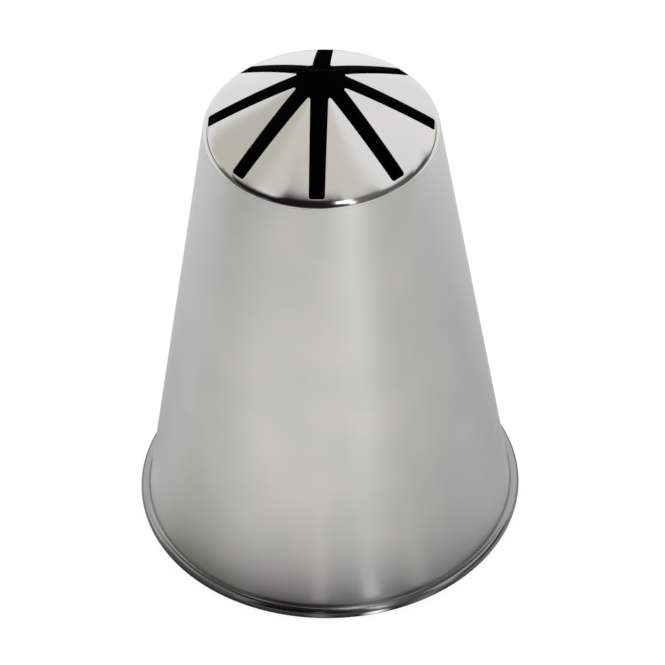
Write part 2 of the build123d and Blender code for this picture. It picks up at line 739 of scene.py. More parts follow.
@dataclass(frozen=True)
class SlottedCap:
    """The crowned cap, cut by the slots into petals that a rounded shoulder joins.

    Attributes:
        line: Lines of the nozzle's section.
        end_inset: Distance from the slots' ends to the inside of the wall at the seat.
        edge_round: Radius of the soft edge that polishing leaves along the slots.
        edge_steps: Number of facets round that edge.
        seat_round: Radius of the broken edge over the seat.
        petal_columns: Number of facets across a petal.
        joint_steps: Number of facets from the slots' ends to the shoulder.
        shoulder_steps: Number of facets round the shoulder.
        wall_steps: Number of facets down the lip.
        underside_reach: Radius to which the underside follows the plan of the slots.
    """

    line: Meridian
    end_inset: float = 0.06 * MM
    edge_round: float = 0.05 * MM
    edge_steps: int = 4
    seat_round: float = 0.03 * MM
    petal_columns: int = 24
    joint_steps: int = 2
    shoulder_steps: int = 16
    wall_steps: int = 6
    underside_reach: float = 9.985 * MM

    @cached_property
    def star(self) -> SlotStar:
        """Plan of the slots, which end just short of the inside of the wall."""
        sizes = self.line.sizes
        inner_radius = self.line.wall_point(sizes.seat_height, sizes.sheet)[0]
        return SlotStar(end_radius=inner_radius - self.end_inset)

    def _petal_row(self, station: PlanPoint, turn: float, depth: float) -> list[Corner]:
        """Lines up corners across one petal, between two mirrored points of the outline.

        Args:
            station: Point of the outline beside the slot at angle 0.
            turn: Angle about the axis of the slot on the petal's right.
            depth: 0 for the outer face, or the gauge for the underside.

        Returns:
            The corners.
        """
        span = self.star.pitch - 2 * station.angle
        face = self.line.cap_station(station.radius, depth)
        steps = self.petal_columns
        return [face.corner(turn + station.angle + span * at / steps) for at in range(steps + 1)]

    def _border(self, grow: float) -> list[Point2]:
        """Walks the petals' wide ends and the slots' ends once round.

        Args:
            grow: Distance by which the slots are widened on all sides.

        Returns:
            Radius and angle of each point.
        """
        star = self.star
        half = star.half_outline(grow)
        last_row, slot_end = half[star.petal_rows - 1], half[star.petal_rows :]
        span = star.pitch - 2 * last_row.angle
        border = []
        for number in range(star.count):
            turn = number * star.pitch
            after = turn + star.pitch
            for at in range(self.petal_columns + 1):
                angle = turn + last_row.angle + span * at / self.petal_columns
                border.append((last_row.radius, angle))
            border += [(at.radius, after - at.angle) for at in slot_end]
            border += [(at.radius, after + at.angle) for at in reversed(slot_end[:-1])]
        return border

    def _face(self, skin: Skin, depth: float, grow: float, reach: float, finish: Finish) -> None:
        """Builds the outer face or the underside of the petals and of the ring that joins them.

        Args:
            skin: Skin to build on.
            depth: 0 for the outer face, or the gauge for the underside.
            grow: Distance by which the slots are widened on this face.
            reach: Radius at which the face ends in a full ring.
            finish: Finish of the face.
        """
        star = self.star
        rows = star.half_outline(grow)[: star.petal_rows]
        for number in range(star.count):
            turn = number * star.pitch
            lines = [self._petal_row(row, turn, depth) for row in rows]
            for lower, upper in zip(lines, lines[1:]):
                skin.band(lower, upper, finish)
        inner, outer = self._border(grow), self._border(0.0)
        rings = []
        for step in range(self.joint_steps + 1):
            share = step / self.joint_steps
            ring = []
            for (radius, angle), (_, end_angle) in zip(inner, outer):
                face = self.line.cap_station(radius + (reach - radius) * share, depth)
                ring.append(face.corner(angle + (end_angle - angle) * share))
            rings.append(ring)
        for lower, upper in zip(rings, rings[1:]):
            skin.ring(lower, upper, finish)

    def _slot_walls(self, skin: Skin) -> None:
        """Builds the soft upper edge of the slots and their upright walls.

        Args:
            skin: Skin to build on.
        """
        sheet = self.line.sizes.sheet
        lines = []
        for step in range(self.edge_steps + 1):
            turn = math.pi / 2 * step / self.edge_steps
            sink = self.edge_round * (1 - math.cos(turn))
            line = []
            for at in self.star.perimeter(self.edge_round * (1 - math.sin(turn))):
                place, facing = self.line.cap_station(at.radius).corner(at.angle)
                outward = facing * math.cos(turn) + at.wall() * math.sin(turn)
                line.append(((place[0], place[1], place[2] - sink), outward.normalized()))
            lines.append(line)
        for lower, upper in zip(lines, lines[1:]):
            skin.ring(lower, upper, Finish.POLISHED)
        outline = self.star.perimeter()
        foot = []
        for at in outline:
            place, _ = self.line.cap_station(at.radius, sheet).corner(at.angle)
            foot.append((place, at.wall()))
        top = [(place, at.wall()) for (place, _), at in zip(lines[-1], outline)]
        skin.ring(top, foot, Finish.CUT)

    def _rim(self) -> SectionPath:
        """Walks the section of the rim, down the inside of the lip and up to the crown.

        Returns:
            The section.
        """
        line, sizes = self.line, self.line.sizes
        inner_reach = sizes.shoulder_radius - sizes.sheet
        start_angle = math.acos((self.underside_reach - line.shoulder_centre[0]) / inner_reach)
        lip_depth = sizes.lap_depth + sizes.lap_clearance
        edge_height = sizes.seat_height + self.seat_round
        edge_centre = line.wall_point(edge_height, self.seat_round)
        path = SectionPath(line.shoulder_point(start_angle, sizes.sheet))
        path.arc(line.shoulder_centre, line.taper, Finish.INSIDE, self.edge_steps, hollow=True)
        lip_foot = line.wall_point(sizes.lip_foot_height, sizes.sheet)
        path.line(lip_foot, Finish.INSIDE, self.wall_steps)
        path.line(line.wall_point(sizes.lip_foot_height, lip_depth), Finish.CUT)
        path.line(line.wall_point(sizes.seat_height, lip_depth), Finish.INSIDE)
        path.line((edge_centre[0], sizes.seat_height), Finish.INSIDE)
        path.arc(edge_centre, line.taper, Finish.POLISHED, self.edge_steps)
        path.line(line.shoulder_point(line.taper), Finish.POLISHED)
        path.arc(line.shoulder_centre, line.shoulder_angle, Finish.POLISHED, self.shoulder_steps)
        path.change_last_run(line.buffed)
        return path

    def build(self, materials: Materials) -> bpy.types.Object:
        """Makes the cap in the place of its solid.

        Args:
            materials: Material of each finish.

        Returns:
            The cap.
        """
        skin = Skin()
        line, sheet = self.line, self.line.sizes.sheet
        crown_end = line.shoulder_point(line.shoulder_angle)[0]
        self._face(skin, 0.0, self.edge_round, crown_end, Finish.POLISHED)
        self._face(skin, sheet, 0.0, self.underside_reach, Finish.INSIDE)
        self._slot_walls(skin)
        rim = self._rim()
        skin.sweep(lambda _: rim, [angle for _, angle in self._border(0.0)])
        return skin.build("crowned_cap", materials)


@dataclass(frozen=True)
class BrazeSeam:
    """The seam of braze in the groove under the cap's lip, drawn in a little by its own flow.

    Attributes:
        line: Lines of the nozzle's section.
        columns: Number of facets round the axis.
        face_steps: Number of facets up its inner face.
        draw_in: Depth by which the inner face is drawn into the groove.
        ripple: Change of that depth round the seam.
        ripple_counts: Number of waves round the axis of each ripple.
    """

    line: Meridian
    columns: int = 240
    face_steps: int = 8
    draw_in: float = 0.07 * MM
    ripple: float = 0.02 * MM
    ripple_counts: tuple[int, ...] = (7, 18, 31)

    def section(self, angle: float) -> SectionPath:
        """Walks the section, with its inner face hollowed more or less.

        Args:
            angle: Angle about the axis, in radians.

        Returns:
            The section.
        """
        line, sizes = self.line, self.line.sizes
        foot, top = sizes.groove_foot_height, sizes.lip_foot_height
        waves = sum(math.sin(count * angle + count**2) for count in self.ripple_counts)
        sag = self.draw_in + self.ripple * waves / len(self.ripple_counts)
        upper = line.wall_point(top, sizes.sheet)
        lower = line.wall_point(foot, sizes.sheet)
        half = math.dist(upper, lower) / 2
        reach = (half**2 + sag**2) / (2 * sag)
        middle = line.wall_point((foot + top) / 2, sizes.sheet + reach - sag)
        rise = (reach - sag) * math.sin(line.taper)
        centre = line.wall_point(middle[1] - rise, sizes.sheet + reach - sag)
        path = SectionPath(line.wall_point(foot, sizes.lap_depth))
        path.line(line.wall_point(top, sizes.lap_depth), Finish.BRAZE)
        path.line(upper, Finish.BRAZE)
        end_angle = math.atan2(lower[1] - centre[1], lower[0] - centre[0])
        path.arc(centre, end_angle, Finish.BRAZE, self.face_steps, hollow=True)
        path.line(line.wall_point(foot, sizes.lap_depth), Finish.BRAZE)
        return path

    def build(self, materials: Materials) -> bpy.types.Object:
        """Makes the seam in the place of its solid.

        Args:
            materials: Material of each finish.

        Returns:
            The seam.
        """
        skin = Skin()
        angles = [math.tau * number / self.columns for number in range(self.columns)]
        skin.sweep(self.section, angles)
        return skin.build("braze_seam", materials)


class Shading:
    """Node tree of one material, with short ways to add and join its nodes."""

    def __init__(self, name: str) -> None:
        """Starts a material with an empty node tree.

        Args:
            name: Name of the material.
        """
        self.material = bpy.data.materials.new(name)
        self.material.use_nodes = True
        self._tree = self.material.node_tree
        self._tree.nodes.clear()

    def add(self, kind: str, **settings: object) -> bpy.types.Node:
        """Adds a node.

        Args:
            kind: Type of the node.
            **settings: Properties to set on it.

        Returns:
            The node.
        """
        node = self._tree.nodes.new(kind)
        for name, value in settings.items():
            setattr(node, name, value)
        return node

    def _give(self, socket: Socket, value: object) -> None:
        """Joins an output to a socket, or sets the socket to a value.

        Args:
            socket: Input of a node.
            value: Output of another node, or a number, vector or colour.
        """
        if isinstance(value, Socket):
            self._tree.links.new(value, socket)
        elif socket.type == "RGBA":
            socket.default_value = (*value, 1.0)
        else:
            socket.default_value = value

    def feed(self, node: bpy.types.Node, **inputs: object) -> bpy.types.Node:
        """Joins or sets inputs of a node.

        Args:
            node: The node.
            **inputs: What each input gets, by its name with underscores for spaces.

        Returns:
            The node.
        """
        for name, value in inputs.items():
            self._give(node.inputs[name.replace("_", " ")], value)
        return node

    def join(
        self, kind: str, first: Socket, second: Socket, share: Socket | None = None
    ) -> Socket:
        """Puts two shaders together.

        Args:
            kind: Type of the node, which adds or mixes them.
            first: The first shader.
            second: The second shader.
            share: Share of the second shader, where they are mixed.

        Returns:
            The new shader.
        """
        node = self.add(kind)
        given = (first, second) if share is None else (share, first, second)
        for socket, value in zip(node.inputs, given):
            self._give(socket, value)
        return node.outputs[0]

    def math(self, operation: str, *values: float | Socket) -> Socket:
        """Works out a value.

        Args:
            operation: Name of the operation.
            *values: Its one, two or three values.

        Returns:
            The result.
        """
        node = self.add("ShaderNodeMath", operation=operation)
        for socket, value in zip(node.inputs, values):
            self._give(socket, value)
        return node.outputs[0]

    def coordinates(self) -> list[Socket]:
        """Takes a point's place apart.

        Returns:
            Its x, y and z in metres.
        """
        place = self.add("ShaderNodeTexCoord").outputs["Object"]
        split = self.feed(self.add("ShaderNodeSeparateXYZ"), Vector=place)
        return list(split.outputs)

    def distance_from_axis(self) -> Socket:
        """Measures a point's distance from the Z axis.

        Returns:
            The distance in metres.
        """
        x, y, _ = self.coordinates()
        squares = self.math("ADD", self.math("POWER", x, 2.0), self.math("POWER", y, 2.0))
        return self.math("SQRT", squares)

    def noise(self, vector: Socket, scale: float, detail: float) -> Socket:
        """Makes noise.

        Args:
            vector: Place in the noise.
            scale: How many times finer than that place it runs.
            detail: How many finer layers it has.

        Returns:
            The noise value, from 0 to 1.
        """
        node = self.add("ShaderNodeTexNoise")
        self.feed(node, Vector=vector, Scale=scale, Detail=detail)
        return node.outputs["Fac"]

    def patches(self, spacing: float, detail: float) -> Socket:
        """Returns soft patches about as far apart as a spacing in metres."""
        place = self.add("ShaderNodeTexCoord").outputs["Object"]
        return self.noise(place, 1 / spacing, detail)

    def turned_grain(self, spacing: float, arcs: float, detail: float) -> Socket:
        """Makes fine lines that run round the axis, as brushing on a lathe leaves them.

        Args:
            spacing: Height from one line to the next, in metres.
            arcs: About how many pieces each line is broken into once round.
            detail: How many finer layers the lines have.

        Returns:
            The noise value, from 0 to 1.
        """
        x, y, z = self.coordinates()
        radius = self.distance_from_axis()
        reach = arcs / math.tau
        grain = self.add("ShaderNodeCombineXYZ")
        self.feed(
            grain,
            X=self.math("MULTIPLY", self.math("DIVIDE", x, radius), reach),
            Y=self.math("MULTIPLY", self.math("DIVIDE", y, radius), reach),
            Z=self.math("DIVIDE", z, spacing),
        )
        return self.noise(grain.outputs[0], 1.0, detail)

    def bump(self, height: Socket, depth: float, normal: Socket | None = None) -> Socket:
        """Makes a surface uneven.

        Args:
            height: Height of the surface, from 0 to 1.
            depth: Depth of the unevenness in metres.
            normal: Normal that it adds to, or none for the surface's own.

        Returns:
            The uneven surface's normal.
        """
        node = self.feed(self.add("ShaderNodeBump"), Height=height, Distance=depth, Strength=1.0)
        if normal is not None:
            self.feed(node, Normal=normal)
        return node.outputs[0]

    def between(
        self, value: Socket, source: Range, target: Range, smooth: bool = False
    ) -> Socket:
        """Carries a value from one range to another, held at the ends.

        Args:
            value: The value.
            source: Its range.
            target: The new range.
            smooth: Whether the ends are eased.

        Returns:
            The new value.
        """
        easing = "SMOOTHSTEP" if smooth else "LINEAR"
        node = self.add("ShaderNodeMapRange", interpolation_type=easing)
        self.feed(node, Value=value, From_Min=source[0], From_Max=source[1])
        self.feed(node, To_Min=target[0], To_Max=target[1])
        return node.outputs[0]

    def mix_value(self, share: Socket, first: Socket, second: float) -> Socket:
        """Returns a value between two, the first at share 0 and the second at share 1."""
        rest = self.math("MULTIPLY", first, self.math("SUBTRACT", 1.0, share))
        return self.math("MULTIPLY_ADD", share, second, rest)

    def mix(self, share: Socket, first: Colour | Socket, second: Colour | Socket) -> Socket:
        """Mixes two colours.

        Args:
            share: Share of the second colour.
            first: The first colour.
            second: The second colour.

        Returns:
            The mixed colour.
        """
        node = self.add("ShaderNodeMix", data_type="RGBA")
        colours = [socket for socket in node.inputs if socket.type == "RGBA"]
        for socket, value in zip([node.inputs[0], *colours], (share, first, second)):
            self._give(socket, value)
        return next(socket for socket in node.outputs if socket.type == "RGBA")

    def show(self, surface: Socket) -> bpy.types.Material:
        """Makes a shader the material's surface.

        Args:
            surface: The shader.

        Returns:
            The material.
        """
        output = self.add("ShaderNodeOutputMaterial")
        self.feed(output, Surface=surface)
        return self.material


@dataclass(frozen=True)
class Steel:
    """A metal finish, with the grain and the slight unevenness of its working.

    Attributes:
        colour: Colour of the metal.
        stain: Colour that soft patches of it lean to.
        gloss_range: Least and most roughness.
        stretch: How much highlights stretch across the grain, from 0 to 1.
        grain_spacing: Height from one line of the grain to the next.
        grain_depth: Depth of the grain.
        wave_spacing: Distance between the soft waves of the surface.
        wave_depth: Depth of those waves.
        patch_spacing: Distance between patches of colour and gloss.
        grain_arcs: Number of pieces that a line of the grain is broken into once round.
        edge_tint: How much it dims where it is seen at a grazing angle.
        ACROSS_GRAIN: Turn of the highlights that lays them across the grain, in full turns.
        NOISE_RANGE: Part of a noise value that is stretched to the whole of what it changes.
        GRAIN_DETAIL: How many finer layers the grain has.
        PATCH_DETAIL: How many finer layers the patches have.
        WAVE_DETAIL: How many finer layers the waves have.
    """

    colour: Colour
    stain: Colour
    gloss_range: Range
    stretch: float
    grain_spacing: float
    grain_depth: float
    wave_spacing: float
    wave_depth: float
    patch_spacing: float = 6 * MM
    grain_arcs: float = 9.0
    edge_tint: Colour = WHITE

    ACROSS_GRAIN: ClassVar[float] = 0.25
    NOISE_RANGE: ClassVar[Range] = (0.3, 0.7)
    GRAIN_DETAIL: ClassVar[float] = 3.0
    PATCH_DETAIL: ClassVar[float] = 2.0
    WAVE_DETAIL: ClassVar[float] = 1.0

    def material(self, name: str) -> bpy.types.Material:
        """Makes the material.

        Args:
            name: Name of the material.

        Returns:
            The material.
        """
        nodes = Shading(name)
        grain = nodes.turned_grain(self.grain_spacing, self.grain_arcs, self.GRAIN_DETAIL)
        patch = nodes.patches(self.patch_spacing, self.PATCH_DETAIL)
        wave = nodes.patches(self.wave_spacing, self.WAVE_DETAIL)
        stained = nodes.between(patch, self.NOISE_RANGE, (0.0, 1.0))
        both = nodes.math("MULTIPLY", nodes.math("ADD", grain, patch), 0.5)
        tangent = nodes.add("ShaderNodeTangent", direction_type="RADIAL", axis="Z")
        shader = nodes.feed(
            nodes.add("ShaderNodeBsdfPrincipled"),
            Base_Color=nodes.mix(stained, self.colour, self.stain),
            Metallic=1.0,
            Specular_Tint=self.edge_tint,
            Roughness=nodes.between(both, self.NOISE_RANGE, self.gloss_range),
            Anisotropic=self.stretch,
            Anisotropic_Rotation=self.ACROSS_GRAIN,
            Tangent=tangent.outputs[0],
            Normal=nodes.bump(grain, self.grain_depth, nodes.bump(wave, self.wave_depth)),
        )
        return nodes.show(shader.outputs[0])


FINISHES: dict[Finish, Steel] = {
    Finish.SATIN: Steel(
        colour=(0.80, 0.795, 0.765),
        stain=(0.76, 0.765, 0.745),
        gloss_range=(0.385, 0.415),
        stretch=0.8,
        grain_spacing=0.16 * MM,
        grain_depth=0.55 * MICRON,
        wave_spacing=5 * MM,
        wave_depth=2 * MICRON,
        edge_tint=(0.86, 0.88, 0.89),
    ),
    Finish.POLISHED: Steel(
        colour=(0.70, 0.69, 0.66),
        stain=(0.66, 0.66, 0.64),
        gloss_range=(0.10, 0.16),
        stretch=0.3,
        grain_spacing=0.12 * MM,
        grain_depth=0.12 * MICRON,
        wave_spacing=1.6 * MM,
        wave_depth=5 * MICRON,
    ),
    # Painted shade: the bead's steel is darker than the polished steel, which dims its reflections.
    Finish.BEAD: Steel(
        colour=(0.39, 0.39, 0.38),
        stain=(0.345, 0.35, 0.345),
        gloss_range=(0.16, 0.23),
        stretch=0.3,
        grain_spacing=0.14 * MM,
        grain_depth=0.15 * MICRON,
        wave_spacing=1.8 * MM,
        wave_depth=5 * MICRON,
    ),
    # Painted shade: the inside's steel is made dark so that the hollow shows black through the
    # slots.
    Finish.INSIDE: Steel(
        colour=(0.16, 0.155, 0.15),
        stain=(0.13, 0.13, 0.13),
        gloss_range=(0.45, 0.6),
        stretch=0.3,
        grain_spacing=0.3 * MM,
        grain_depth=1.5 * MICRON,
        wave_spacing=4 * MM,
        wave_depth=10 * MICRON,
    ),
    # Painted shade: the cut faces are near black, so that the slots' walls and the bead's hollow
    # show dark.
    Finish.CUT: Steel(
        colour=(0.05, 0.05, 0.05),
        stain=(0.035, 0.035, 0.035),
        gloss_range=(0.5, 0.65),
        stretch=0.0,
        grain_spacing=0.08 * MM,
        grain_depth=1.5 * MICRON,
        wave_spacing=0.6 * MM,
        wave_depth=3 * MICRON,
    ),
    Finish.BRAZE: Steel(
        colour=(0.55, 0.5, 0.42),
        stain=(0.42, 0.38, 0.33),
        gloss_range=(0.25, 0.45),
        stretch=0.0,
        grain_spacing=0.5 * MM,
        grain_depth=2 * MICRON,
        wave_spacing=0.9 * MM,
        wave_depth=12 * MICRON,
    ),
}


@dataclass(frozen=True)
class Bearing:
    """A direction seen from the nozzle.

    Attributes:
        across: Degrees to the right of the camera.
        above: Degrees above the floor.
        CAMERA_AZIMUTH: Degrees from the X axis to the camera.
    """

    across: float
    above: float = 0.0

    CAMERA_AZIMUTH: ClassVar[float] = -86.79

    @property
    def turn(self) -> float:
        """Angle about the Z axis, in radians from the X axis."""
        return math.radians(self.CAMERA_AZIMUTH + self.across)

    def direction(self) -> Vector:
        """Works the direction out in space.

        Returns:
            A vector of length 1.
        """
        turn, rise = self.turn, math.radians(self.above)
        flat = math.cos(rise)
        return Vector((flat * math.cos(turn), flat * math.sin(turn), math.sin(rise)))


@dataclass(frozen=True)
class PhotoCamera:
    """The camera at the photograph's angle, worked out from the outline and the slots.

    Attributes:
        elevation: Degrees above the floor.
        roll: Degrees by which it leans to the side.
        distance: Distance from the point that it aims at.
        target_height: Height of that point on the nozzle's axis.
        target_pixel: Where that point shows, in pixels from the left and from the top.
        frame_pixels: Width and height of the frame in pixels.
        focal_pixels: Focal length in pixels.
        sensor: Width of the sensor in millimetres.
    """

    elevation: float = 43.15
    roll: float = -1.39
    distance: float = 538.4 * MM
    target_height: float = 22.19 * MM
    target_pixel: Point2 = (325.85, 310.42)
    frame_pixels: int = 665
    focal_pixels: float = 5961.3
    sensor: float = 36.0

    def build(self) -> None:
        """Makes the camera and gives it to the scene."""
        data = bpy.data.cameras.new("photo_camera")
        data.sensor_width = self.sensor
        data.lens = self.sensor * self.focal_pixels / self.frame_pixels
        camera = bpy.data.objects.new("photo_camera", data)
        bpy.context.scene.collection.objects.link(camera)

        back = Bearing(0.0, self.elevation).direction()
        level_right = Vector((0.0, 0.0, 1.0)).cross(back).normalized()
        level_up = back.cross(level_right)
        roll = math.radians(self.roll)
        right = level_right * math.cos(roll) + level_up * math.sin(roll)
        up = level_up * math.cos(roll) - level_right * math.sin(roll)

        middle = self.frame_pixels / 2
        aside = middle - self.target_pixel[0]
        above = self.target_pixel[1] - middle
        view = (-back * self.focal_pixels + right * aside + up * above).normalized()
        right = view.cross(up).normalized()
        up = right.cross(view)
        place = Vector((0.0, 0.0, self.target_height)) + back * self.distance
        turn = Matrix((right, up, -view)).transposed()
        camera.matrix_world = Matrix.Translation(place) @ turn.to_4x4()
        bpy.context.scene.camera = camera


@dataclass(frozen=True)
class StudioCard:
    """A curved card or light that the polished metal mirrors. The camera doesn't see it.

    Attributes:
        name: Name of the card.
        left: Bearing of its left edge, in degrees to the right of the camera.
        right: Bearing of its right edge.
        foot: Elevation of its lower edge in degrees.
        top: Elevation of its upper edge.
        glow: Colour that it shows, where 1 is white.
        fades: Widths of its soft edges at the left, the right, the foot and the top, in degrees.
            A width of 0 makes a hard edge.
        distance: Distance from the nozzle.
        columns: Number of facets across it.
        rows: Number of facets up it.
    """

    name: str
    left: float
    right: float
    foot: float
    top: float
    glow: Colour
    fades: tuple[float, float, float, float] = (1.0, 1.0, 1.0, 1.0)
    distance: float = 600 * MM
    columns: int = 40
    rows: int = 24

    def _place(self, across: float, above: float) -> Vector:
        """Returns the card's point at a bearing and an elevation."""
        return Bearing(across, above).direction() * self.distance

    def build(self) -> None:
        """Makes the card, which faces the nozzle."""
        mesh = bpy.data.meshes.new(self.name)
        points, cover, faces = [], [], []
        for row in range(self.rows + 1):
            above = self.foot + (self.top - self.foot) * row / self.rows
            for column in range(self.columns + 1):
                across = self.left + (self.right - self.left) * column / self.columns
                points.append(tuple(self._place(across, above)))
                aside = (across - self.left, self.right - across)
                upright = (above - self.foot, self.top - above)
                margins = zip(aside + upright, self.fades)
                cover.append(min([1.0, *(margin / fade for margin, fade in margins if fade)]))
        stride = self.columns + 1
        for row in range(self.rows):
            for column in range(self.columns):
                corner = row * stride + column
                faces.append((corner, corner + 1, corner + stride + 1, corner + stride))
        mesh.from_pydata(points, [], faces)
        mesh.attributes.new("cover", "FLOAT", "POINT").data.foreach_set("value", cover)
        mesh.materials.append(self._material())
        card = bpy.data.objects.new(self.name, mesh)
        bpy.context.scene.collection.objects.link(card)
        card.visible_camera = False
        card.visible_diffuse = False
        card.visible_shadow = False

    def _material(self) -> bpy.types.Material:
        """Makes the card's glowing material, which fades at its edge.

        Returns:
            The material.
        """
        nodes = Shading(self.name)
        cover = nodes.add("ShaderNodeAttribute", attribute_name="cover").outputs["Fac"]
        share = nodes.between(cover, (0.0, 1.0), (0.0, 1.0), smooth=True)
        glow = nodes.feed(nodes.add("ShaderNodeEmission"), Color=self.glow, Strength=1.0)
        clear = nodes.add("ShaderNodeBsdfTransparent")
        return nodes.show(
            nodes.join("ShaderNodeMixShader", clear.outputs[0], glow.outputs[0], share)
        )


@dataclass(frozen=True)
class LevelCard(StudioCard):
    """A level card over the floor close round the nozzle, which the bead or the shoulder mirrors.

    Its foot, its top and their fades are distances from the axis in millimetres, and its distance
    is its height.
    """

    def _place(self, across: float, above: float) -> Vector:
        """Returns the card's point at a bearing and a distance from the axis."""
        return Bearing(across).direction() * above * MM + Vector((0.0, 0.0, self.distance))


# Elevation of the foot of the cards that reach down to the floor, and height of the level hoods
CARD_FOOT = 0.04
HOOD_HEIGHT = 46.5 * MM
# The cards show only in the metal's reflections: the strips are painted highlights, the grey cards
# painted reflections, and the dark cards and level hoods painted shade.
CARDS: tuple[StudioCard, ...] = (
    StudioCard(
        "main_strip", left=23.5, right=27.5, foot=16.0, top=50.0,
        glow=(4.0, 4.0, 4.0), fades=(1.0, 1.0, 6.0, 6.0),
    ),
    LevelCard(
        "shoulder_strip", left=8.5, right=19.0, foot=16.5, top=25.0,
        glow=(2.4, 2.4, 2.4), fades=(1.5, 2.0, 1.0, 1.5), distance=52 * MM,
    ),
    LevelCard(
        "bead_strip", left=14.5, right=22.5, foot=17.0, top=36.0,
        glow=(1.5, 1.5, 1.5), fades=(1.5, 1.5, 1.0, 6.0), distance=53 * MM,
    ),
    StudioCard(
        "left_strip", left=-8.0, right=-6.0, foot=8.0, top=34.0,
        glow=(1.5, 1.3, 1.2),
    ),
    StudioCard(
        "right_strip", left=56.0, right=59.0, foot=4.0, top=40.0,
        glow=(1.2, 1.2, 1.1),
    ),
    LevelCard(
        "black_hood", left=-62.0, right=7.0, foot=11.5, top=60.0,
        glow=(0.01, 0.008, 0.008), fades=(0.0, 3.0, 1.5, 5.0), distance=HOOD_HEIGHT,
    ),
    LevelCard(
        "left_hood", left=-128.0, right=-62.0, foot=19.0, top=60.0,
        glow=(0.1, 0.1, 0.09), fades=(20.0, 0.0, 2.0, 5.0), distance=HOOD_HEIGHT,
    ),
    LevelCard(
        "olive_hood", left=34.0, right=62.0, foot=11.5, top=60.0,
        glow=(0.13, 0.13, 0.11), fades=(3.0, 0.0, 1.5, 5.0), distance=HOOD_HEIGHT,
    ),
    LevelCard(
        "right_hood", left=62.0, right=128.0, foot=19.0, top=60.0,
        glow=(0.13, 0.13, 0.11), fades=(0.0, 20.0, 2.0, 5.0), distance=HOOD_HEIGHT,
    ),
    StudioCard(
        "black_card", left=-52.0, right=12.0, foot=CARD_FOOT, top=69.0,
        glow=(0.006, 0.004, 0.004), fades=(9.0, 4.0, 0.0, 14.0), distance=700 * MM,
    ),
    StudioCard(
        "left_low_card", left=-108.0, right=-46.0, foot=CARD_FOOT, top=30.0,
        glow=(0.12, 0.12, 0.1), fades=(14.0, 8.0, 0.0, 12.0), distance=760 * MM,
    ),
    StudioCard(
        "left_mid_card", left=-90.0, right=-46.0, foot=22.0, top=52.0,
        glow=(0.2, 0.2, 0.16), fades=(16.0, 8.0, 4.0, 18.0), distance=780 * MM,
    ),
    StudioCard(
        "blue_card", left=6.0, right=24.0, foot=CARD_FOOT, top=68.0,
        glow=(0.05, 0.055, 0.065), fades=(4.0, 3.0, 0.0, 14.0), distance=720 * MM,
    ),
    StudioCard(
        "right_olive_card", left=27.0, right=66.0, foot=CARD_FOOT, top=60.0,
        glow=(0.15, 0.15, 0.125), fades=(3.0, 10.0, 0.0, 16.0), distance=740 * MM,
    ),
    StudioCard(
        "right_dark_card", left=62.0, right=118.0, foot=CARD_FOOT, top=34.0,
        glow=(0.06, 0.065, 0.07), fades=(10.0, 14.0, 0.0, 14.0), distance=760 * MM,
    ),
    StudioCard(
        "left_grey_card", left=-140.0, right=-62.0, foot=16.0, top=78.0,
        glow=(0.69, 0.68, 0.62), fades=(14.0, 24.0, 8.0, 10.0), distance=820 * MM,
    ),
    StudioCard(
        "front_grey_card", left=-84.0, right=74.0, foot=48.0, top=88.0,
        glow=(0.80, 0.78, 0.74), fades=(22.0, 24.0, 8.0, 6.0), distance=860 * MM,
    ),
)


@dataclass(frozen=True)
class FloorBeam:
    """A band of light across the floor in front, where it lifts the shade round the foot.

    Attributes:
        across: Bearing in which it runs, right of the camera's bearing, in degrees.
        miss: Distance at which it passes the axis, positive where it leaves from its left.
        half_width: Half its width, out to where it has faded.
        share: How much of the shade it lifts.
        glow: Light that it adds by the foot.
    """

    across: float
    miss: float
    half_width: float
    share: float
    glow: float = 0.0


BEAMS: tuple[FloorBeam, ...] = (
    FloorBeam(across=24.5, miss=3.5 * MM, half_width=1.7 * MM, share=0.12, glow=3.0),
    FloorBeam(across=-8.0, miss=-1.2 * MM, half_width=1.8 * MM, share=0.35),
    FloorBeam(across=58.0, miss=8.5 * MM, half_width=2.6 * MM, share=0.45),
)


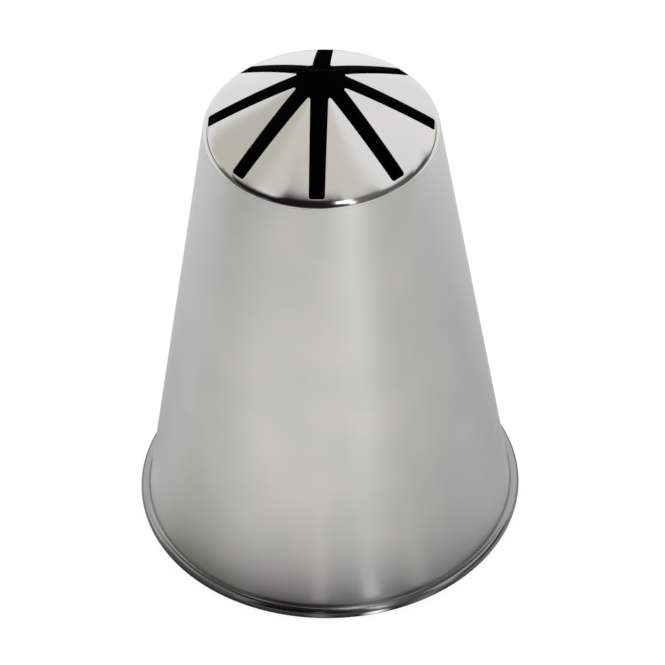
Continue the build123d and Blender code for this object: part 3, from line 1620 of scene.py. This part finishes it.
@dataclass(frozen=True)
class Studio:
    """The pale floor, the white surroundings, the soft overhead light and the cards.

    The metal sees the floor with painted shade round the foot and close behind the nozzle, and
    a painted dark far out in front. The camera sees it white.

    Attributes:
        rim_radius: Outer radius of the nozzle's foot.
        floor_size: Side of the floor.
        floor_white: Light that the floor gives by itself, so that it shows as white.
        floor_colour: Colour of the floor's own surface, which takes the shadow.
        shade_reach: Distance from the axis at which the floor's shade by the foot ends.
        shade: Share of the floor's white that is left right at the foot.
        shade_middle: Bearing of its middle, right of the camera's bearing, in degrees.
        shade_spread: Angles from its middle between which it weakens.
        side_share: Share of the shade that is left at the sides.
        contact_reach: Distances from the axis between which the darkest shade, by the bead, ends.
        contact: Share of the floor's white that is left in that darkest shade.
        contact_middle: Bearing of its middle, right of the camera's bearing, in degrees.
        contact_spread: Angles from its middle between which it fades out, in degrees.
        glow_reach: Distance from the axis at which the beams' own light ends.
        graze: Shares of a slanting view between which the glossy floor loses its white in front.
        graze_share: Share of the white left at the end of that fade.
        bright_bearing: Bearing at which the floor is brightest, right of the camera's, in degrees.
        bright_spread: Angles from that bearing between which it dims.
        bright_shares: How bright the floor is there and to the sides, beside its plain white.
        far_dark_reach: Distances from the axis between which the floor dims into the painted dark.
        far_dark_bearing: Bearing of the painted dark far in front, right of the camera's, in
            degrees.
        far_dark_spread: Angles from that bearing between which it brightens.
        far_dark_share: Share of the floor's white that is left in that painted dark.
        behind: Distances behind the axis between which the floor counts as behind the nozzle, as
            shares of the distance from the axis.
        back_reach: Distances from the axis between which the dimmer floor behind brightens.
        back_share: Share of the floor's white that is left close behind the nozzle.
        front_tint: Tint of the floor in front.
        back_tint: Tint of the floor behind.
        lamp_height: Height of the overhead light.
        lamp_size: Width of the overhead light.
        lamp_power: Power of the overhead light in watts.
        lamp_colour: Colour of the overhead light.
    """

    rim_radius: float
    floor_size: float = 8.0
    floor_white: float = 0.93
    floor_colour: Colour = (0.08, 0.08, 0.08)
    shade_reach: float = 46 * MM
    shade: float = 0.5
    shade_middle: float = -16.0
    shade_spread: Range = (48.0, 88.0)
    side_share: float = 0.75
    contact_reach: Range = (19.5 * MM, 25.5 * MM)
    contact: float = 0.02
    contact_middle: float = -10.0
    contact_spread: Range = (40.0, 82.0)
    glow_reach: float = 20 * MM
    graze: Range = (0.8, 0.93)
    graze_share: float = 0.08
    bright_bearing: float = -14.0
    bright_spread: Range = (10.0, 80.0)
    bright_shares: Range = (1.2, 0.7)
    far_dark_reach: Range = (120 * MM, 165 * MM)
    far_dark_bearing: float = -38.0
    far_dark_spread: Range = (36.0, 58.0)
    far_dark_share: float = 0.08
    behind: Range = (-0.25, 0.4)
    back_reach: Range = (50 * MM, 110 * MM)
    back_share: float = 0.42
    front_tint: Colour = (1.0, 0.99, 0.96)
    back_tint: Colour = (0.95, 0.98, 1.0)
    lamp_height: float = 700 * MM
    lamp_size: float = 600 * MM
    lamp_power: float = 1.0
    lamp_colour: Colour = (1.0, 0.98, 0.94)

    def _lean(self, nodes: Shading, part: Point2, start: float = 0.0) -> Socket:
        """Measures how far a point of the floor lies in a direction.

        Args:
            nodes: The floor's shading.
            part: The direction's x and y.
            start: Value at the axis.

        Returns:
            The distance in metres.
        """
        x, y, _ = nodes.coordinates()
        return nodes.math("MULTIPLY_ADD", y, part[1], nodes.math("MULTIPLY_ADD", x, part[0], start))

    def _facing(
        self, nodes: Shading, middle: float, spread: Range, shares: Range = (1.0, 0.0)
    ) -> Socket:
        """Makes a share that changes with the bearing on the floor.

        Args:
            nodes: The floor's shading.
            middle: Bearing of its middle, right of the camera's bearing, in degrees.
            spread: Angles from its middle between which the share changes, in degrees.
            shares: The share at the middle and the one beyond.

        Returns:
            The share.
        """
        turn = Bearing(middle).turn
        across = self._lean(nodes, (math.sin(turn), -math.cos(turn)))
        along = self._lean(nodes, (math.cos(turn), math.sin(turn)))
        angle = nodes.math("ABSOLUTE", nodes.math("ARCTAN2", across, along))
        limits = (math.radians(spread[0]), math.radians(spread[1]))
        return nodes.between(angle, limits, shares, smooth=True)

    def _beam(self, nodes: Shading, beam: FloorBeam) -> Socket:
        """Makes a beam on the floor.

        Args:
            nodes: The floor's shading.
            beam: The beam.

        Returns:
            How strongly it lights the floor, from 0 beside it to 1 in its middle.
        """
        turn = Bearing(beam.across).turn
        sideways = self._lean(nodes, (math.sin(turn), -math.cos(turn)), -beam.miss)
        aside = nodes.math("ABSOLUTE", sideways)
        return nodes.between(aside, (0.0, beam.half_width), (1.0, 0.0), smooth=True)

    def _mirrored_light(self, nodes: Shading, radius: Socket, behind: Socket) -> Socket:
        """Makes the light that the metal sees on the floor.

        Args:
            nodes: The floor's shading.
            radius: Distance from the axis.
            behind: Share by which a point lies behind the nozzle.

        Returns:
            The light, where 1 is the floor's plain white.
        """
        ahead = nodes.math("SUBTRACT", 1.0, behind)
        # Painted shade round the foot, darkest by the bead, in the glow that only the metal's
        # reflections see.
        near = (self.rim_radius, self.shade_reach)
        shade = nodes.between(radius, near, (1.0 - self.shade, 0.0), smooth=True)
        facing = self._facing(nodes, self.shade_middle, self.shade_spread, (1.0, self.side_share))
        shade = nodes.math("MULTIPLY", shade, facing)
        contact = nodes.between(radius, self.contact_reach, (1.0 - self.contact, 0.0), smooth=True)
        facing = self._facing(nodes, self.contact_middle, self.contact_spread)
        contact = nodes.math("MULTIPLY", contact, facing)

        # The beams are painted light: they lift the painted shade and add glow by the foot.
        foot = (self.rim_radius, self.glow_reach)
        by_foot = nodes.between(radius, foot, (1.0, 0.0), smooth=True)
        glow: float | Socket = 0.0
        for beam in BEAMS:
            lit = self._beam(nodes, beam)
            kept = nodes.math("MULTIPLY_ADD", lit, -beam.share, 1.0)
            shade = nodes.math("MULTIPLY", shade, kept)
            contact = nodes.math("MULTIPLY", contact, kept)
            if beam.glow:
                added = nodes.math("MULTIPLY", nodes.math("MULTIPLY", lit, by_foot), ahead)
                glow = nodes.math("MULTIPLY_ADD", added, beam.glow, glow)

        # Painted dark far out in front, which only the metal's reflections see.
        far_dark_loss = (0.0, 1.0 - self.far_dark_share)
        beyond = nodes.between(radius, self.far_dark_reach, far_dark_loss, smooth=True)
        far_dark_facing = self._facing(nodes, self.far_dark_bearing, self.far_dark_spread)
        # Painted shade close behind the nozzle, and a painted dimming where the floor is seen at a
        # slant in front.
        dim = nodes.between(radius, self.back_reach, (1.0 - self.back_share, 0.0), smooth=True)
        slant = nodes.add("ShaderNodeLayerWeight").outputs["Facing"]
        grazed = nodes.between(slant, self.graze, (0.0, 1.0 - self.graze_share), smooth=True)
        losses = (
            shade,
            contact,
            nodes.math("MULTIPLY", beyond, far_dark_facing),
            nodes.math("MULTIPLY", dim, behind),
            nodes.math("MULTIPLY", grazed, ahead),
        )
        bright = self._facing(nodes, self.bright_bearing, self.bright_spread, self.bright_shares)
        strength = nodes.mix_value(behind, bright, 1.0)
        for loss in losses:
            strength = nodes.math("MULTIPLY", strength, nodes.math("SUBTRACT", 1.0, loss))
        return nodes.math("ADD", strength, glow)

    def _floor_material(self) -> bpy.types.Material:
        """Makes the floor's material: white to the camera, and shaded as the metal sees it.

        Returns:
            The material.
        """
        nodes = Shading("studio_floor")
        seen = nodes.add("ShaderNodeLightPath").outputs["Is Camera Ray"]
        radius = nodes.distance_from_axis()
        _, y, _ = nodes.coordinates()
        back = nodes.math("DIVIDE", y, radius)
        behind = nodes.between(back, self.behind, (0.0, 1.0), smooth=True)
        strength = self._mirrored_light(nodes, radius, behind)
        outside = nodes.math("GREATER_THAN", radius, self.rim_radius)
        strength = nodes.math("MULTIPLY", strength, outside)
        strength = nodes.math("MULTIPLY", strength, nodes.math("SUBTRACT", 1.0, seen))
        strength = nodes.math("MAXIMUM", strength, seen)
        tint = nodes.mix(behind, self.front_tint, self.back_tint)
        white = nodes.feed(
            nodes.add("ShaderNodeEmission"),
            Color=nodes.mix(seen, tint, WHITE),
            Strength=nodes.math("MULTIPLY", strength, self.floor_white),
        )
        matt = nodes.feed(nodes.add("ShaderNodeBsdfDiffuse"), Color=self.floor_colour)
        return nodes.show(nodes.join("ShaderNodeAddShader", white.outputs[0], matt.outputs[0]))

    def _floor(self) -> None:
        """Makes the floor."""
        half = self.floor_size / 2
        mesh = bpy.data.meshes.new("studio_floor")
        corners = [(-half, -half, 0.0), (half, -half, 0.0), (half, half, 0.0), (-half, half, 0.0)]
        mesh.from_pydata(corners, [], [(0, 1, 2, 3)])
        mesh.materials.append(self._floor_material())
        floor = bpy.data.objects.new("studio_floor", mesh)
        bpy.context.scene.collection.objects.link(floor)

    def _surroundings(self) -> None:
        """Makes everything beyond the floor plain white."""
        world = bpy.data.worlds.new("studio_surroundings")
        world.use_nodes = True
        backdrop = world.node_tree.nodes["Background"]
        backdrop.inputs["Color"].default_value = (*WHITE, 1.0)
        backdrop.inputs["Strength"].default_value = 1.0
        bpy.context.scene.world = world

    def _overhead_light(self) -> None:
        """Hangs the soft light over the nozzle."""
        data = bpy.data.lights.new("overhead_light", "AREA")
        data.shape = "DISK"
        data.size = self.lamp_size
        data.energy = self.lamp_power
        data.color = self.lamp_colour
        light = bpy.data.objects.new("overhead_light", data)
        light.location = (0.0, 0.0, self.lamp_height)
        light.visible_camera = False
        light.visible_glossy = False
        bpy.context.scene.collection.objects.link(light)

    def build(self) -> None:
        """Makes the floor, the surroundings, the overhead light and the cards."""
        self._floor()
        self._surroundings()
        self._overhead_light()
        for card in CARDS:
            card.build()


def main() -> None:
    """Makes the camera, the nozzle round the frame and the studio."""
    logging.basicConfig(level=logging.INFO, format="%(name)s: %(message)s")
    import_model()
    bpy.context.scene.view_settings.view_transform = "Standard"
    PhotoCamera().build()

    line = Meridian(NozzleSizes.from_frame())
    materials = {finish: steel.material(finish.value) for finish, steel in FINISHES.items()}
    dressed = (
        (BrushedCone(line), "cone_body", "satin_steel"),
        (SlottedCap(line), "slotted_cap", "polished_steel"),
        (BrazeSeam(line), "cap_braze_ring", "braze"),
    )
    for maker, node, slot in dressed:
        piece = maker.build(materials)
        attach(piece, BODY)
        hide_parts(node)
        LOG.info("%s stands for %s, with %d faces", piece.name, node, len(piece.data.polygons))
    Studio(rim_radius=line.sizes.rim_radius).build()

    bpy.context.view_layer.update()


if __name__ == "__main__":
    main()
